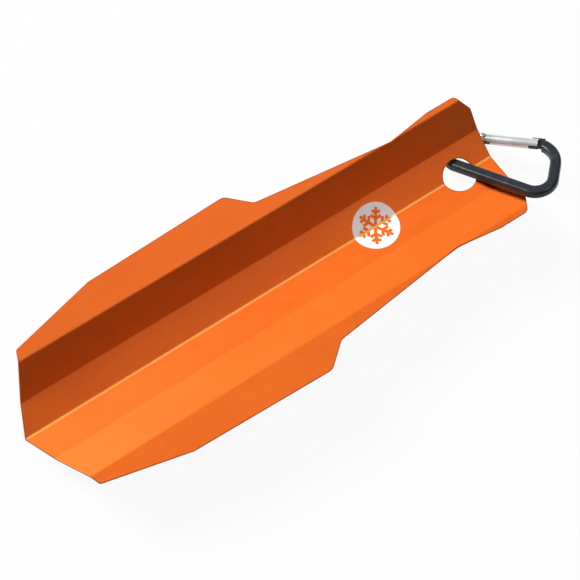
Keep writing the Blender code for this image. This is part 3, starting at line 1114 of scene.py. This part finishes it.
    def make_rivet(self) -> bpy.types.Object:
        """The rivet: a shank with a domed head at each end, turned about the pivot.

        A head is a quarter of an ellipse, (seat + height cos a, radius sin a).

        Returns:
            The piece.
        """
        seat = self.gate_radius + self.gap
        angle = np.linspace(self.dome_pole, math.pi / 2, self.dome_points)
        rise = self.rivet_head_height * np.cos(angle)
        dome = np.stack([seat + rise, self.rivet_head * np.sin(angle)], axis=1)
        half = np.vstack([dome, [[seat, self.rivet_radius]]])
        profile = np.vstack([half, half[::-1] * [-1.0, 1.0]])
        points = lathe(profile, self.rivet_sides)[:, [1, 2, 0]]
        faces = tube_faces(len(profile), self.rivet_sides)
        return surface("domed_rivet", self.gate_place().out(points), faces, self.sharp)

    def spring_span(self) -> tuple[float, float]:
        """Where the spring's wire starts behind the plunger and ends in the bore, along the gate."""
        start = self.hinge_slot + self.plunger_head + 2 * self.gap + self.wire_radius
        return start, self.bore_end - self.gap - self.wire_radius

    def make_spring(self) -> bpy.types.Object:
        """The return spring: a round section carried along a helix in the bore.

        The wire's middle is (start + share of the span, r cos a, r sin a), and its section is drawn on
        the outward direction and the one square to that and to the wire.

        Returns:
            The piece.
        """
        start, end = self.spring_span()
        radius = self.bore_radius - self.gap - self.wire_radius
        share = np.linspace(0.0, 1.0, round(self.spring_turns * self.spring_steps) + 1)
        turn = 2 * math.pi * self.spring_turns * share
        outward = np.stack([0 * turn, np.cos(turn), np.sin(turn)], axis=1)
        centre = outward * radius
        centre[:, 0] = start + (end - start) * share
        beside = np.cross(unit(np.gradient(centre, axis=0)), outward)
        angle = np.linspace(0.0, 2 * math.pi, self.wire_sides, endpoint=False)[None, :, None]
        rings = centre[:, None] + self.wire_radius * (
            np.cos(angle) * outward[:, None] + np.sin(angle) * beside[:, None]
        )
        faces = tube_faces(len(centre), self.wire_sides)
        return surface("coiled_spring", self.gate_place().out(rings.reshape(-1, 3)), faces, self.sharp)

    def build(self, nodes: dict[str, bpy.types.Object]) -> list[bpy.types.Object]:
        """Makes and dresses the carabiner.

        Args:
            nodes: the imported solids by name.

        Returns:
            The pieces made here.
        """
        steel = self.steel.material()
        made = []
        for piece, node, body, slot, finish in (
            (self.make_rod(), "carabiner_body", "carabiner", "carabiner_rod", self.black.material()),
            (self.make_gate(), "gate", "gate", "gate_bar", self.silver.material()),
            (self.make_rivet(), "gate_rivet", "carabiner", "steel_fittings", steel),
            (self.make_spring(), "gate_spring", "gate", "steel_fittings", steel),
        ):
            piece.data.materials.append(finish)
            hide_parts(node)
            made.append(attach(piece, body))
        start, end = self.spring_span()
        keep = 1.0 - self.spring_squeeze / (end - start)
        place = self.gate_place()
        fixed = place.out(np.array([[end + self.wire_radius, 0.0, 0.0]]))[0]
        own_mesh(made[-1])
        nodes["gate_plunger"].data.materials.clear()
        nodes["gate_plunger"].data.materials.append(steel)
        return made


# Studio


@dataclass(frozen=True)
class Lamp:
    """A soft box that faces the trowel."""

    name: str
    direction: tuple[float, float, float]
    distance: float
    side: float
    watts: float
    level: tuple[float, float, float] = (0.3, 1.0, 0.2)

    def build(self, target: Array) -> None:
        """Hangs the lamp at its distance from a point, turned to it.

        Args:
            target: the point.
        """
        toward = unit(np.array(self.direction))
        data = bpy.data.lights.new(self.name, "AREA")
        data.shape = "SQUARE"
        data.size = self.side
        data.energy = self.watts
        made = bpy.data.objects.new(self.name, data)
        aside = np.cross(self.level, toward)
        made.matrix_world = Place.from_axes(target + toward * self.distance, aside, toward).matrix()
        bpy.context.scene.collection.objects.link(made)


@dataclass
class Studio:
    """Plain white floor, soft light and the camera."""

    floor_side: float = 8.0
    floor_white: float = 0.86
    floor_matt: float = 0.9
    floor_glow: float = 0.93
    air: float = 0.015
    focal_pixels: float = 2055.5
    sensor: float = 36.0
    eye: tuple[float, float, float] = (-0.1520, -0.0706, 0.9681)
    right: tuple[float, float, float] = (0.8148, -0.5372, 0.2181)
    back: tuple[float, float, float] = (-0.2977, -0.0647, 0.9525)
    lamps: tuple[Lamp, ...] = (
        Lamp("key_box", (-0.36, 0.79, 0.49), 3.5, 1.00, 194.0),
        Lamp("top_box", (0.31, -0.17, 0.93), 2.5, 0.90, 13.5),
    )

    def make_floor(self, height: float) -> None:
        """A square of white floor that shows near white and still takes the shadow.

        Args:
            height: its height.
        """
        half = self.floor_side / 2
        square = [(-half, -half), (half, -half), (half, half), (-half, half)]
        corners = np.array([(x, y, height) for x, y in square])
        floor = surface("floor", corners, [[0, 1, 2, 3]], sharp=30.0)
        shader = Shader("white_floor")
        rays = shader.add("ShaderNodeLightPath").outputs
        seen = Value(shader, rays["Is Camera Ray"]).either(Value(shader, rays["Is Glossy Ray"]))
        seen = seen.either(Value(shader, rays["Is Transmission Ray"]))
        white = (self.floor_white,) * 3
        shader.principled(Base_Color=white, Roughness=self.floor_matt, Specular_IOR_Level=0.0)
        glow = shader.add("ShaderNodeEmission", None, {"Color": (1.0, 1.0, 1.0)}).outputs[0]
        lit = shader.surface.outputs[0]
        mixed = shader.add("ShaderNodeMixShader", None, {0: seen * self.floor_glow, 1: lit, 2: glow})
        shader.feed(shader.tree.nodes["Material Output"].inputs["Surface"], mixed.outputs[0])
        floor.data.materials.append(shader.material)
        floor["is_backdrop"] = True

    def make_camera(self, origin: Array) -> None:
        """The camera at the photograph's viewing angle, placed from the tip of the crease.

        Args:
            origin: tip of the crease.
        """
        data = bpy.data.cameras.new("camera")
        data.sensor_width = self.sensor
        data.lens = self.focal_pixels / IMAGE_SIDE * self.sensor
        place = Place.from_axes(origin + self.eye, self.right, self.back)
        made = bpy.data.objects.new("camera", data)
        made.matrix_world = place.matrix()
        bpy.context.scene.collection.objects.link(made)
        bpy.context.scene.camera = made

    def build(self, origin: Array, low: float) -> None:
        """Sets the stage round the trowel.

        Args:
            origin: tip of the crease.
            low: height of the lowest point.
        """
        scene = bpy.context.scene
        scene.view_settings.view_transform = "Standard"
        world = bpy.data.worlds.new("studio_air")
        world.use_nodes = True
        sky = world.node_tree.nodes["Background"].inputs
        sky["Color"].default_value = (1.0, 1.0, 1.0, 1.0)
        sky["Strength"].default_value = self.air
        scene.world = world
        self.make_floor(low)
        for lamp in self.lamps:
            lamp.build(np.zeros(3))
        self.make_camera(origin)


def main() -> None:
    """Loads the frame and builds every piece."""
    logging.basicConfig(level=logging.INFO, format="%(name)s: %(message)s")
    for obj in list(bpy.data.objects):
        bpy.data.objects.remove(obj)
    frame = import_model()
    solid_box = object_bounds()
    blade = FoldedBlade()
    pieces = [blade.build(), *Carabiner(frame["joints"]).build(frame["nodes"])]
    for piece in pieces:
        LOG.info("%s: %d faces", piece.name, len(piece.data.polygons))
    Studio().build(blade.origin(), solid_box[0].z)


if __name__ == "__main__":
    main()
